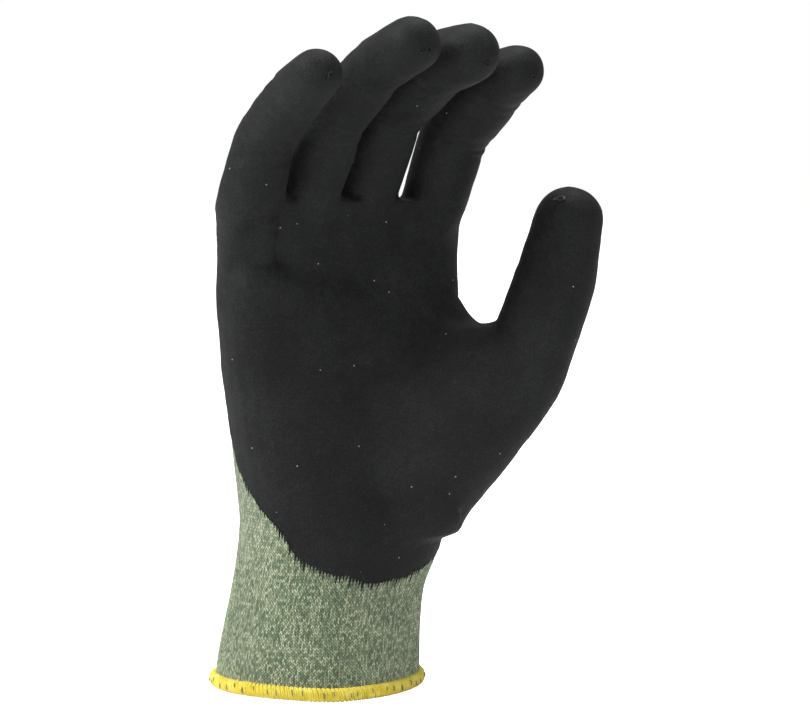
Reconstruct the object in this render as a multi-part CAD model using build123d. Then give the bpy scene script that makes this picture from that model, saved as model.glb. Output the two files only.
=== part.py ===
from build123d import *
import os
from math import cos, pi, radians, sin

os.makedirs("parts", exist_ok=True)

# Right-hand cut resistant work glove: seamless knitted liner, nitrile dip on the palm,
# thumb and fingers, overlocked hem. Millimetres and degrees. The origin is the centre of
# the hem's plane, +Z runs from the cuff to the fingers, the palm faces -Y and the thumb
# is on the +X side. The glove is shown as it leaves its curved former, with the fingers
# a little curled.

# ---- fabric, film and fits ----
LINER_WALL = 1.1        # knitted liner, thickness
COAT_WALL = 0.5         # nitrile film over the liner
COAT_SEAT = 0.05        # film to liner, one lies on the other
FOLD_GAP = 0.3          # between two bodies at a fold
YARN_SEAT = 0.05        # a yarn laid on a surface

# ---- hem ----
HEM_HEIGHT = 4.5
HEM_PROUD = 2.0         # the overlock stands out from the cuff
HEM_INSIDE = 0.9        # and in from the lining side
HEM_FLOOR = 0.8         # yarn under the cut edge of the knit

# ---- elastic yarns laid in the cuff ----
ELASTIC_ROWS = 8
ELASTIC_PITCH = 3.6
ELASTIC_FIRST_Z = 7.5
ELASTIC_SIZE = 0.5

# ---- wrist, between the cuff and the palm ----
CUFF_TOP_Z = 36.0
PALM_BOTTOM_Z = 62.0

# ---- sleeve of the hand: height, centre x, centre y, half width, half depth,
#      squareness (2 is an ellipse), arch (the edges lie this far towards the palm) ----
SLEEVE = [
    (0.0, 0.0, 0.0, 36.0, 25.8, 2.0, 0.0),
    (8.0, 0.6, 0.0, 35.6, 25.4, 2.0, 0.0),
    (20.0, 1.2, 0.0, 34.4, 24.3, 2.0, 0.0),
    (31.0, 2.4, 0.0, 33.4, 23.8, 2.0, 0.0),
    (44.0, 4.2, 0.0, 32.8, 23.2, 2.1, 0.0),
    (54.0, 5.0, -0.4, 32.6, 22.4, 2.2, 0.0),
    (68.0, 4.6, -0.8, 33.6, 20.6, 2.3, 0.5),
    (85.0, 4.2, -1.0, 36.0, 18.8, 2.4, 1.0),
    (105.0, 4.2, -0.8, 39.8, 17.0, 2.5, 2.0),
    (126.0, 4.4, -0.4, 42.8, 15.0, 2.6, 3.0),
    (141.0, 4.0, -0.8, 43.2, 12.6, 2.7, 3.6),
    (157.0, 3.4, -3.8, 42.8, 10.6, 2.8, 4.0),
]
SECTION_POINTS = 24     # points around each section
CAP_WALL = 1.4          # web of fabric between the finger roots

# ---- digits. start: the bone's base joint; root: from there to the fold at the stall's
#      root; lengths: to the next joints and to the centre of the tip; radii: over the
#      film at the start, the two joints and the tip; closes: the largest bend that each
#      fold takes ----
FINGERS = {
    "index": dict(start=(36.2, -1.0, 138.0), splay=1.8, bends=(20.0, 33.0, 17.0),
                  lengths=(42.5, 24.5, 15.5), radii=(10.4, 10.5, 9.9, 8.6), root=15.0),
    "middle": dict(start=(13.5, 3.0, 141.6), splay=0.0, bends=(24.0, 34.0, 21.0),
                   lengths=(46.8, 28.6, 18.3), radii=(10.3, 10.2, 9.7, 8.7), root=15.0),
    "ring": dict(start=(-8.5, 0.0, 142.4), splay=-0.8, bends=(26.0, 27.0, 16.0),
                 lengths=(42.6, 27.0, 18.3), radii=(10.0, 9.9, 9.4, 8.5), root=15.0),
    "little": dict(start=(-30.8, -4.4, 140.0), splay=-2.2, bends=(17.0, 28.0, 16.0),
                   lengths=(33.4, 19.0, 16.6), radii=(10.0, 9.8, 9.0, 8.0), root=13.0),
}
FINGER_CLOSES = (75.0, 92.0, 60.0)
FINGER_PARTS = ("proximal", "middle", "distal")

THUMB = dict(start=(31.5, -11.2, 65.0), headings=((50.0, 46.5), (47.0, 72.0), (40.0, 77.5)),
             lengths=(46.5, 34.0, 21.0), radii=(18.6, 14.0, 12.2, 10.5), root=26.0)
THUMB_CLOSES = (42.0, 62.0, 75.0)
THUMB_PARTS = ("base", "proximal", "distal")
THUMB_SWINGS = Vector(0.42, -0.90, 0.0)     # its root swings out of the palm this way
THUMB_FLEXES = Vector(-0.90, -0.42, 0.0)    # its two joints fold this way

# ---- web of fabric between the thumb and the index finger ----
WEB_LOW = (35.0, -7.0, 76.0)
WEB_HIGH = (41.0, -4.0, 109.0)
WEB_LOW_R = 14.0
WEB_HIGH_R = 6.5

# ---- reach of the dip ----
DIP_FRONT_Z = 37.0      # lowest film, on the heel of the palm
DIP_FRONT_Y = -18.0     # the edge runs level as far round as this
DIP_SIDE_Z = 50.0       # height at which it starts up the hand's sides
DIP_SIDE_Y = -12.0
DIP_BACK_Z = 106.0      # height at which it has come round to the back
DIP_BACK_Y = 7.0
DIP_TOP_Y = 1.4         # its edge on the back, at the finger roots
BACK_STRIP = 0.55       # bare knit starts at this share of a digit's radius
TIP_BARE = 4.0          # the bare strip ends this far past the last joint

# ---- yarn knot left where the knitting of each stall starts ----
KNOT_RING_R = 1.1
KNOT_YARN_R = 0.35
KNOT_TAIL = 2.6
KNOT_LEAN = 30.0        # from the stall's axis towards the pad
BALL_PROUD = 0.12       # the ball at a joint stands over the cones that meet in it

# ---- finger roots ----
TONGUE_SHARE = 0.6      # inside the palm only the front and back of a root carry on
SIDE_ROOM = 3.0         # the outer fingers' pockets reach past the palm's sides

FAR = 400.0             # larger than the glove
OVERLAP = 2.0           # a cutting body stands past what it cuts
LOW = (Align.CENTER, Align.CENTER, Align.MIN)


def heading(azimuth, elevation):
    """Unit vector: azimuth from +X towards -Y, elevation from the horizontal."""
    a, e = radians(azimuth), radians(elevation)
    return Vector(cos(a) * cos(e), -sin(a) * cos(e), sin(e))


def finger_headings(splay, bends):
    """Directions of a finger's three bones, each bent further towards the palm."""
    s = radians(splay)
    total, found = 0.0, []
    for bend in bends:
        total += bend
        t = radians(total)
        found.append(Vector(sin(s) * cos(t), -sin(t), cos(s) * cos(t)))
    return found


def fold(at, before, after, towards, radius, widest, closes):
    """A hinge across a stall: its place, axis, the halfway direction, how far the stall
    reaches to each side, and the radius of the round joint that lets it close so far."""
    halfway = (before + after).normalized()
    axis = halfway.cross(towards).normalized()
    return dict(at=at, axis=axis, along=halfway, side=max(radius, widest) + BALL_PROUD,
                r=radius / cos(radians(closes / 2)) + FOLD_GAP)


def digit(name, start, bones, lengths, radii, root, closes, parts, towards):
    """Points, bones and folds of one stall."""
    points = [Vector(*start)]
    for bone, length in zip(bones, lengths):
        points.append(points[-1] + bone * length)
    root_r = radii[0] + (radii[1] - radii[0]) * root / lengths[0]
    folds = [
        fold(points[0] + bones[0] * root, bones[0], bones[0], towards[0], root_r, radii[0],
             closes[0]),
        fold(points[1], bones[0], bones[1], towards[1], radii[1], root_r, closes[1]),
        fold(points[2], bones[1], bones[2], towards[1], radii[2], radii[1], closes[2]),
    ]
    return dict(name=name, points=points, bones=bones, lengths=lengths, radii=radii,
                folds=folds, parts=parts, towards=towards[1])


PALMWARD = Vector(0, -1, 0)
DIGITS = [
    digit(name, f["start"], finger_headings(f["splay"], f["bends"]), f["lengths"],
          f["radii"], f["root"], FINGER_CLOSES, FINGER_PARTS, (PALMWARD, PALMWARD))
    for name, f in FINGERS.items()
]
THUMB_DIGIT = digit("thumb", THUMB["start"], [heading(*h) for h in THUMB["headings"]],
                    THUMB["lengths"], THUMB["radii"], THUMB["root"], THUMB_CLOSES,
                    THUMB_PARTS, (THUMB_SWINGS, THUMB_FLEXES))


def tapered(a, b, ra, rb):
    """A cone frustum from a to b."""
    a, b = Vector(*a), Vector(*b)
    return Plane(origin=a, z_dir=b - a) * Cone(ra, rb, (b - a).length, align=LOW)


def ball(at, radius):
    return Pos(*at) * Sphere(radius + BALL_PROUD)


def stall(d, grow):
    """A stall's round body, with its surface moved out by grow."""
    radii = [r - COAT_WALL - COAT_SEAT + grow for r in d["radii"]]
    body = ball(d["points"][0], radii[0])
    for i in range(3):
        body += tapered(d["points"][i], d["points"][i + 1], radii[i], radii[i + 1])
        body += ball(d["points"][i + 1], radii[i + 1])
    return body


def past(f, gap, half_length=FAR / 4):
    """Everything past a fold: its round joint, grown by gap, and the space beyond."""
    along = Plane(origin=f["at"], z_dir=f["axis"])
    joint = along * Cylinder(f["r"] + gap, 2 * half_length)
    across = Plane(origin=f["at"], x_dir=f["axis"], z_dir=f["along"])
    return joint + across * Box(2 * half_length, FAR, FAR, align=LOW)


def section(z, cx, cy, half_width, half_depth, square, arch, grow):
    """One closed section of the sleeve, a superellipse bowed towards the palm."""
    a, b = half_width + grow, half_depth + grow
    points = []
    for i in range(SECTION_POINTS):
        t = 2 * pi * i / SECTION_POINTS
        c, s = cos(t), sin(t)
        u = abs(c) ** (2 / square) * (1 if c >= 0 else -1)
        v = abs(s) ** (2 / square) * (1 if s >= 0 else -1)
        points.append((cx + a * u, cy + b * v - arch * u * u, z))
    return make_face(Spline(points, periodic=True))


def sleeve(grow):
    return loft([section(*row, grow) for row in SLEEVE])


def slab(z_low, z_high):
    """All the space between two heights."""
    return Pos(0, 0, z_low) * Box(FAR, FAR, z_high - z_low, align=LOW)


def web(grow):
    """The fabric between the thumb and the index finger."""
    body = tapered(WEB_LOW, WEB_HIGH, WEB_LOW_R + grow, WEB_HIGH_R + grow)
    return body + ball(WEB_LOW, WEB_LOW_R + grow) + ball(WEB_HIGH, WEB_HIGH_R + grow)


PALM_TOP_Z = SLEEVE[-1][0]
FILM_IN = COAT_SEAT
FILM_OUT = COAT_SEAT + COAT_WALL
THUMB_ROOT = THUMB_DIGIT["folds"][0]
OUTER_FINGERS = {"index": (0.0, SIDE_ROOM), "little": (SIDE_ROOM, 0.0)}


def pocket(f, low_room=0.0, high_room=0.0):
    """The round pocket in the hand that a stall's root turns in. Each end leaves the
    fold's gap beside the stall, and more where the hand's own side has to clear it."""
    side = f["side"] + FOLD_GAP
    middle = Plane(origin=f["at"], z_dir=f["axis"]) * Pos(0, 0, (high_room - low_room) / 2)
    return middle * Cylinder(f["r"] + FOLD_GAP, 2 * side + low_room + high_room)


def dip():
    """The space that went into the nitrile bath: the palm side of the hand."""
    front = -FAR / 4
    edge = Polyline(
        (front, DIP_FRONT_Z), (DIP_FRONT_Y, DIP_FRONT_Z), (DIP_SIDE_Y, DIP_SIDE_Z),
        (DIP_BACK_Y, DIP_BACK_Z), (DIP_TOP_Y, PALM_TOP_Z + OVERLAP),
        (front, PALM_TOP_Z + OVERLAP), close=True)
    side = Plane(origin=(0, 0, 0), x_dir=(0, 1, 0), z_dir=(1, 0, 0))
    return extrude(side * make_face(edge), FAR / 4, both=True)


def bare_back(d):
    """The space over the back of a digit that the dip doesn't reach."""
    body = []
    for i, bone in enumerate(d["bones"]):
        last = i == len(d["bones"]) - 1
        pad = d["towards"] - bone * d["towards"].dot(bone)
        back = pad.normalized() * -1
        before, thick = d["radii"][i], d["radii"][i + 1]
        length = before + (TIP_BARE if last else d["lengths"][i] + thick)
        start = d["points"][i] - bone * before + back * (BACK_STRIP * thick)
        lie = Plane(origin=start, x_dir=bone.cross(back), z_dir=back)
        align = (Align.CENTER, Align.MIN, Align.MIN)
        body.append(lie * Box(3 * before, length, 2 * before, align=align))
    return body[0] + body[1] + body[2]


def inside_palm(d):
    """The middle of a finger's root below the crotch, where the stalls run together and
    only their front and back carry on. The outer fingers keep their outer wall."""
    f = d["folds"][0]
    reach = f["r"] + OVERLAP
    low = 0.0 if d["name"] == "little" else -reach
    high = 0.0 if d["name"] == "index" else reach
    lie = Plane(origin=f["at"], x_dir=f["axis"], z_dir=f["along"])
    place = lie * Pos((low + high) / 2, 0, -reach)
    return place * Box(high - low, 2 * TONGUE_SHARE * f["side"], reach - OVERLAP, align=LOW)


def main_solid(shape):
    """The largest solid, without the crumbs that a cut may leave beside it."""
    return shape.solids().sort_by(SortBy.VOLUME)[-1]


def save(node, shape):
    """Write one node."""
    shape.label = node
    export_step(shape, f"parts/{node}.step")


def hand_walls(low, high, cap):
    """The shell of the sleeve, web and thumb root between two growths. The cavity stops
    below the crotch by the cap. The roots of the thumb and the fingers have their pockets,
    and the thumb's knuckle has room to turn."""
    film_room = FILM_OUT + FOLD_GAP
    thumb_start = stall(THUMB_DIGIT, high) - past(THUMB_ROOT, FOLD_GAP)
    outside = sleeve(high) + web(high) + thumb_start
    cavity = (sleeve(low) & slab(-1, PALM_TOP_Z - cap)) + web(low)
    walls = outside - cavity - stall(THUMB_DIGIT, low) - pocket(THUMB_ROOT)
    walls -= stall(THUMB_DIGIT, film_room) & past(THUMB_ROOT, 0)
    knuckle = THUMB_DIGIT["folds"][1]
    walls -= Pos(*knuckle["at"]) * Sphere(knuckle["r"] + FOLD_GAP)
    for d in DIGITS:
        walls -= pocket(d["folds"][0], *OUTER_FINGERS.get(d["name"], (0, 0)))
    return walls


def make_hand():
    """Cuff, wrist and palm of the liner, and the film on the wrist and the palm."""
    knit = hand_walls(-LINER_WALL, 0, CAP_WALL)
    hem_seat = HEM_FLOOR + YARN_SEAT
    save("liner_cuff", main_solid(knit & slab(hem_seat, CUFF_TOP_Z)))
    save("liner_wrist", main_solid(knit & slab(CUFF_TOP_Z + FOLD_GAP,
                                               PALM_BOTTOM_Z - FOLD_GAP)))
    save("liner_palm", main_solid(knit & slab(PALM_BOTTOM_Z, PALM_TOP_Z)))
    film = hand_walls(FILM_IN, FILM_OUT, -OVERLAP) & dip()
    save("coating_wrist", main_solid(film & slab(0, PALM_BOTTOM_Z - FOLD_GAP)))
    save("coating_palm", main_solid(film & slab(PALM_BOTTOM_Z, PALM_TOP_Z)))


def make_hem():
    """The overlocked edge: a band of yarn that wraps the cut end of the knit."""
    band = sleeve(HEM_PROUD) & slab(0, HEM_HEIGHT)
    band -= sleeve(-LINER_WALL - HEM_INSIDE)
    channel = sleeve(YARN_SEAT) - sleeve(-LINER_WALL - YARN_SEAT)
    save("cuff_hem", main_solid(band - (channel & slab(HEM_FLOOR, HEM_HEIGHT + OVERLAP))))


def make_elastic():
    """Rubber yarns laid round the inside of the cuff, one in every few rows."""
    outside = -LINER_WALL - YARN_SEAT
    rows = [ELASTIC_FIRST_Z + ELASTIC_PITCH * i for i in range(ELASTIC_ROWS)]
    layers = Compound(children=[slab(z, z + ELASTIC_SIZE) for z in rows])
    yarns = (layers & sleeve(outside)) - sleeve(outside - ELASTIC_SIZE)
    save("cuff_elastic_yarns", Compound(children=list(yarns.solids())))


def make_digit(d):
    """A stall's three lengths of liner and of film, parted at its folds."""
    is_thumb = d is THUMB_DIGIT
    knit = stall(d, 0) - stall(d, -LINER_WALL)
    film = stall(d, FILM_OUT) - stall(d, FILM_IN) - bare_back(d)
    for kind, wall in (("liner", knit), ("coating", film)):
        for i, (part, f) in enumerate(zip(d["parts"], d["folds"])):
            piece = wall & past(f, 0)
            if i < 2:
                piece -= past(d["folds"][i + 1], FOLD_GAP)
            if i == 0 and is_thumb:
                piece -= sleeve(-LINER_WALL) + web(-LINER_WALL)
            elif i == 0:
                piece -= inside_palm(d)
            save(f"{kind}_{d['name']}_{part}", main_solid(piece))


def make_knot(d):
    """The tied end of the yarn where the knitting of a stall starts."""
    bone, tip = d["bones"][-1], d["points"][-1]
    pad = (d["towards"] - bone * d["towards"].dot(bone)).normalized()
    out = bone * cos(radians(KNOT_LEAN)) + pad * sin(radians(KNOT_LEAN))
    lift = d["radii"][-1] + BALL_PROUD + YARN_SEAT + KNOT_YARN_R
    lie = Plane(origin=tip + out * lift, x_dir=bone.cross(pad), z_dir=out)
    tail = Pos(KNOT_RING_R, 0, 0) * Rot(0, 90, 0) * Cylinder(KNOT_YARN_R, KNOT_TAIL,
                                                             align=LOW)
    save(f"{d['name']}_tip_knot", main_solid(lie * (Torus(KNOT_RING_R, KNOT_YARN_R) + tail)))


make_hem()
make_elastic()
make_hand()
for one in DIGITS + [THUMB_DIGIT]:
    make_digit(one)
    make_knot(one)
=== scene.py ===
# %% [markdown]
# # A cut resistant work glove
# The glove is one seamless knitted liner of grey-green cut resistant yarn. Its palm, its
# thumb and the fronts of its fingers were dipped in black nitrile, and its hem is
# overlocked in yellow. The imported CAD model gives the frame: every piece made here sits
# on it, and the hem's pieces and the knots move with their bodies.

# %% The imported model
import math
import random
import bmesh
import bpy
import numpy as np
from mathutils import Matrix, Vector, noise
from mathutils.bvhtree import BVHTree


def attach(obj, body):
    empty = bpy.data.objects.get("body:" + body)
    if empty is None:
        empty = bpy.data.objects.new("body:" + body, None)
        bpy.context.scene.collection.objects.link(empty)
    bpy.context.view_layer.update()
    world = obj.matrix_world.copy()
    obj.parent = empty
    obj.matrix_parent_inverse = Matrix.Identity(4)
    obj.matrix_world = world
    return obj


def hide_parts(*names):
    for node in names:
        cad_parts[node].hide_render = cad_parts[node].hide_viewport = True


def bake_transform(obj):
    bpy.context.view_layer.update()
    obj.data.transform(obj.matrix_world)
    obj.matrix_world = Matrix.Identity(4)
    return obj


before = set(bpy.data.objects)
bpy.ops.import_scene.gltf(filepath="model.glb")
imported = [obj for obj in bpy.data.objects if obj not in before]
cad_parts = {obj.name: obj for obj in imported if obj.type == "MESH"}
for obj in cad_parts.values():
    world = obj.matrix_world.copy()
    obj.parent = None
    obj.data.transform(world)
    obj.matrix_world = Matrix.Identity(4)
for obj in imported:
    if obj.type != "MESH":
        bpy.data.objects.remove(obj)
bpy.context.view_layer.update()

MM = 0.001

# %% [markdown]
# ## The camera
# It stands in front of the little finger's side of the palm, a little above the middle
# of the glove, with a long lens.

# %% Camera
AZIMUTH, ELEVATION, ROLL = (math.radians(a) for a in (-35.55, 4.5, 1.09))
DISTANCE = 820 * MM
LENS, SENSOR = 113.9, 36.0


def in_scene(thing):
    """Put an object into the scene."""
    bpy.context.scene.collection.objects.link(thing)
    return thing


towards = Vector((math.sin(AZIMUTH) * math.cos(ELEVATION),
                  -math.cos(AZIMUTH) * math.cos(ELEVATION), math.sin(ELEVATION)))
level = Vector((math.cos(AZIMUTH), math.sin(AZIMUTH), 0))
upright = towards.cross(level)
target = level * 20.46 * MM + Vector((8.0, 0, 104.98)) * MM
across = level * math.cos(ROLL) + upright * math.sin(ROLL)
up = upright * math.cos(ROLL) - level * math.sin(ROLL)
camera = in_scene(bpy.data.objects.new("camera", bpy.data.cameras.new("camera")))
camera.data.lens, camera.data.sensor_width = LENS, SENSOR
camera.data.clip_start, camera.data.clip_end = 0.01, 20
camera.matrix_world = Matrix.Translation(target + towards * DISTANCE) @ Matrix(
    (across, up, towards)).transposed().to_4x4()
bpy.context.scene.camera = camera
print("camera", round(DISTANCE / MM), "mm away, lens", LENS, "mm")

# %% [markdown]
# ## Measures
# The same skeleton as the CAD: a sleeve given by sections, and five digits given by
# bones. All in millimetres. Each section is a superellipse, bowed towards the palm.

# %% Sections and bones
FILM = 0.55             # the dipped film lies this far outside the knit
#          z    centre x, y    half width, depth  square  arch
SLEEVE = np.array([
    (-14.0, 1.3, 0.0, 35.9, 26.2, 2.0, 0.0),
    (0.0, 1.3, 0.0, 35.4, 25.9, 2.0, 0.0),
    (8.0, 1.6, 0.0, 35.2, 25.3, 2.0, 0.0),
    (20.0, 2.7, 0.0, 34.4, 24.3, 2.0, 0.0),
    (31.0, 4.6, 0.0, 33.9, 23.7, 2.0, 0.0),
    (44.0, 8.3, -0.3, 35.4, 23.2, 2.1, 0.0),
    (54.0, 8.9, -0.8, 35.4, 22.4, 2.2, 0.0),
    (68.0, 6.1, -0.9, 34.8, 20.6, 2.3, 0.5),
    (85.0, 4.4, -1.0, 36.5, 18.8, 2.4, 1.0),
    (105.0, 4.6, -0.8, 40.2, 17.0, 2.5, 2.0),
    (126.0, 5.2, -0.4, 43.5, 15.0, 2.6, 3.0),
    (141.0, 5.0, -0.8, 44.0, 12.6, 2.7, 3.6),
    (156.0, 3.4, -3.8, 43.6, 10.2, 2.8, 4.0),
])
FINGERS = {
    "index": dict(start=(35.9, -1.8, 138.0), splays=(3.2, 1.8, 1.8), bends=(22.0, 30.0, 20.5),
                  lengths=(42.2, 24.5, 13.2), radii=(10.0, 10.2, 11.2, 10.7, 8.4), root=15.0),
    "middle": dict(start=(11.4, 3.0, 141.6), splays=(2.4, 0.0, 0.0), bends=(26.0, 35.0, 19.0),
                   lengths=(46.8, 28.2, 17.0), radii=(10.2, 10.4, 10.7, 10.6, 9.2), root=15.0),
    "ring": dict(start=(-12.0, 0.0, 142.4), splays=(3.6, -0.8, -0.8), bends=(27.0, 28.0, 16.0),
                 lengths=(42.2, 26.8, 21.5), radii=(9.8, 10.0, 9.8, 9.1, 8.6), root=15.0),
    "little": dict(start=(-32.2, -3.0, 140.0), splays=(-2.2, -2.2, -2.2),
                   bends=(23.0, 31.0, 7.0), lengths=(36.6, 20.0, 16.0),
                   radii=(7.4, 10.6, 9.2, 9.0, 7.8), root=13.0),
}
THUMB = dict(start=(31.5, -11.2, 65.0), headings=((50.0, 46.5), (47.0, 71.6), (40.0, 79.5)),
             lengths=(46.5, 34.0, 20.4), radii=(19.0, 16.4, 13.5, 12.9, 10.9), root=26.0)
print(len(SLEEVE), "sections of the sleeve,", len(FINGERS), "fingers and a thumb")

# %% Laying out the digits
PALMWARD = np.array((0.0, -1.0, 0.0))
THUMB_PAD = np.array((-0.90, -0.42, 0.0))
STEP = 1.5              # between the points along a digit's middle line
EASE = 7.0              # a joint's bend is spread this far to each side


def unit(v):
    return v / np.linalg.norm(v)


def smooth(t):
    t = np.clip(t, 0, 1)
    return t * t * (3 - 2 * t)


def finger_bones(splays, bends):
    return [np.array((math.sin(s) * math.cos(t), -math.sin(t), math.cos(s) * math.cos(t)))
            for s, t in zip(np.radians(splays), np.radians(np.cumsum(bends)))]


def thumb_bones(headings):
    return [np.array((math.cos(a) * math.cos(e), -math.sin(a) * math.cos(e), math.sin(e)))
            for a, e in np.radians(headings)]


def lay_out(name, d, bones, pad):
    """Joints, middle line, headings and radii of one digit."""
    lengths = np.array(d["lengths"])
    joints = [np.array(d["start"])]
    for bone, length in zip(bones, lengths):
        joints.append(joints[-1] + bone * length)
    at = np.cumsum(lengths)
    s = np.arange(0, at[2] + STEP / 2, STEP)[:, None]
    way = bones[0] + (bones[1] - bones[0]) * smooth((s - at[0] + EASE) / (2 * EASE))
    way = way + (bones[2] - bones[1]) * smooth((s - at[1] + EASE) / (2 * EASE))
    way /= np.linalg.norm(way, axis=1)[:, None]
    line = joints[0] + np.vstack([np.zeros(3), np.cumsum(way[:-1] * STEP, axis=0)])
    radii = np.interp(s[:, 0], (0, d["root"], *at), d["radii"])
    back = -(pad - way * (way @ pad)[:, None])
    back /= np.linalg.norm(back, axis=1)[:, None]
    return dict(name=name, joints=joints, bones=bones, lengths=lengths, s=s[:, 0], at=at,
                line=line, way=way, radii=radii, back=back, root=d["root"])


DIGITS = [lay_out(n, f, finger_bones(f["splays"], f["bends"]), PALMWARD)
          for n, f in FINGERS.items()]
DIGITS.append(lay_out("thumb", THUMB, thumb_bones(THUMB["headings"]), THUMB_PAD))
for d in DIGITS:
    print(d["name"], "is", round(float(d["at"][2]), 1), "mm along its bones")

# %% [markdown]
# The sections are joined by curves, not by straight runs, so a Hermite spline through
# the table gives the numbers at any height.

# %% Any height of the sleeve
HEM_CURL, CURL_TO = 1.8, 24.0       # the hem rises on the little finger's side
EVEN_FROM, EVEN_FADE = 65.0, 20.0   # above here the wales are spaced evenly


def sleeve_row(z):
    """Centre, half sizes, squareness and arch of the sleeve at height z."""
    heights, rows = SLEEVE[:, 0], SLEEVE[:, 1:]
    slopes = np.gradient(rows, heights, axis=0)
    z = np.clip(np.atleast_1d(z), heights[0], heights[-1])
    i = np.clip(np.searchsorted(heights, z) - 1, 0, len(heights) - 2)
    gap = (heights[i + 1] - heights[i])[:, None]
    t = (z - heights[i])[:, None] / gap
    return (rows[i] * (2 * t ** 3 - 3 * t ** 2 + 1) + rows[i + 1] * (3 * t ** 2 - 2 * t ** 3)
            + slopes[i] * gap * (t ** 3 - 2 * t ** 2 + t)
            + slopes[i + 1] * gap * (t ** 3 - t ** 2))


def sleeve_points(z, angle, grow):
    """Points of the sleeve at heights z and angles round it, moved out by grow."""
    cx, cy, a, b, square, arch = sleeve_row(z).T
    u = np.abs(np.cos(angle)) ** (2 / square) * np.sign(np.cos(angle))
    v = np.abs(np.sin(angle)) ** (2 / square) * np.sign(np.sin(angle))
    curl = HEM_CURL * smooth((-0.2 - u) / 0.8) * smooth(1 - z / CURL_TO)
    return np.stack([cx + (a + grow) * u, cy + (b + grow) * v - arch * u * u, z + curl],
                    axis=1)


def sleeve_angle(p, even=False):
    """The angle round the sleeve of each point, 0 on the thumb's side, -90 on the palm.
    The even angle has no fast and slow stretches where the sleeve is squarish."""
    cx, cy, a, b, square, arch = sleeve_row(p[:, 2]).T
    if even:
        square = 2 + (square - 2) * smooth((EVEN_FROM - p[:, 2]) / EVEN_FADE)
    u = (p[:, 0] - cx) / a
    v = (p[:, 1] - cy + arch * np.clip(u * u, 0, 1)) / b
    u = np.abs(u) ** (square / 2) * np.sign(u)
    v = np.abs(v) ** (square / 2) * np.sign(v)
    return np.arctan2(v, u)


rim = sleeve_points(np.full(361, 31.0), np.radians(np.arange(361)), 0.0)
print("round the cuff:", round(float(np.linalg.norm(np.diff(rim, axis=0), axis=1).sum())),
      "mm")


# %% [markdown]
# ## The body of the glove
# A glove has no edges where its tubes of fabric meet, so the hand is first built as
# closed tubes that run into each other: the sleeve, five stalls and the web beside the
# thumb. A voxel remesh makes them one skin, and smoothing rounds the crotches between
# the fingers, as the knit stretched over its former does.

# %% Rings
STALL_WIDE, STALL_DEEP = 1.02, 0.98     # a stall is a little wider than it is deep
ROOT_DOME = np.radians((80, 65, 50, 35, 18))
TIP_DOME = np.radians((14, 28, 42, 55, 67, 77, 85))


def ring(bm, centre, way, side, width, depth):
    """A circle of 32 points at centre, square to way, wider along side than across."""
    way, side = Vector(way).normalized(), Vector(side)
    side = (side - way * side.dot(way)).normalized()
    turn = Matrix((side * width, way.cross(side) * depth, way)).transposed().to_4x4()
    made = bmesh.ops.create_circle(bm, segments=32, radius=1,
                                   matrix=Matrix.Translation(centre) @ turn)
    return list({e for v in made["verts"] for e in v.link_edges})


def join_rings(bm, rings):
    """Walls between rings in turn, and a flat end on the first and last."""
    for one, other in zip(rings, rings[1:]):
        bmesh.ops.bridge_loops(bm, edges=one + other)
    bmesh.ops.holes_fill(bm, edges=rings[0] + rings[-1], sides=0)


def stall_rings(bm, d):
    """One digit's rings along its middle line, rounded over at both ends."""
    spots = [(0, -angle) for angle in ROOT_DOME]
    spots += [(i, 0.0) for i in range(len(d["line"]))]
    spots += [(-1, angle) for angle in TIP_DOME]
    rings = []
    for i, angle in spots:
        p, way, back, r = (d[key][i] for key in ("line", "way", "back", "radii"))
        size = r * math.cos(angle)
        rings.append(ring(bm, Vector(p + way * r * math.sin(angle)), way,
                          np.cross(back, way), size * STALL_WIDE, size * STALL_DEEP))
    return rings


print(len(ROOT_DOME) + len(TIP_DOME), "rings round off each stall")

# %% Tubes
body = bmesh.new()
sleeve_rings = []
for z in np.arange(-12, 156.1, 2.0):
    loop = ring(body, Vector((0, 0, z)), (0, 0, 1), (1, 0, 0), 1, 1)
    verts = list({v for e in loop for v in e.verts})
    angles = np.array([math.atan2(v.co.y, v.co.x) for v in verts])
    for v, p in zip(verts, sleeve_points(np.full(len(verts), z), angles, FILM)):
        v.co = p
    sleeve_rings.append(loop)
join_rings(body, sleeve_rings)
for d in DIGITS:
    join_rings(body, stall_rings(body, d))
print("tubes:", len(body.faces), "faces")

# %% [markdown]
# The ball of the thumb swells out of the palm without an edge, and the web between the
# thumb and the hand is a saddle, whose top hangs between the two like a rope. Both are
# made as tubes that run from the palm into the thumb, one over another.

# %% Ball of the thumb and its web
#           in the palm           middle                 in the thumb         radii
BALL_TUBES = [((9.0, -7.0, 52.0), (22.0, -10.0, 57.0), (33.5, -13.3, 64.5), 13.5, 19.4),
              ((8.0, -7.5, 66.0), (25.0, -15.0, 73.0), (40.5, -22.0, 79.5), 12.5, 18.2),
              ((8.0, -7.0, 80.0), (28.0, -18.0, 84.5), (46.0, -28.5, 88.5), 12.0, 16.2),
              ((10.0, -6.5, 91.0), (32.0, -20.0, 94.0), (51.0, -34.0, 97.5), 12.5, 13.8),
              ((14.0, -6.5, 99.0), (36.0, -19.8, 101.0), (53.0, -36.0, 104.0), 11.8, 12.2),
              ((22.0, -6.0, 107.0), (40.0, -19.6, 105.6), (54.5, -38.0, 110.0), 10.6, 9.8),
              ((30.0, -5.5, 117.0), (44.5, -21.6, 109.2), (55.5, -39.4, 117.0), 8.4, 7.0),
              ((37.5, -5.5, 124.0), (46.5, -23.5, 110.6), (56.0, -40.0, 123.0), 6.4, 5.2),
              ((39.0, -5.0, 133.0), (46.8, -24.0, 111.8), (57.6, -41.5, 132.0), 5.2, 4.0)]


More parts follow.
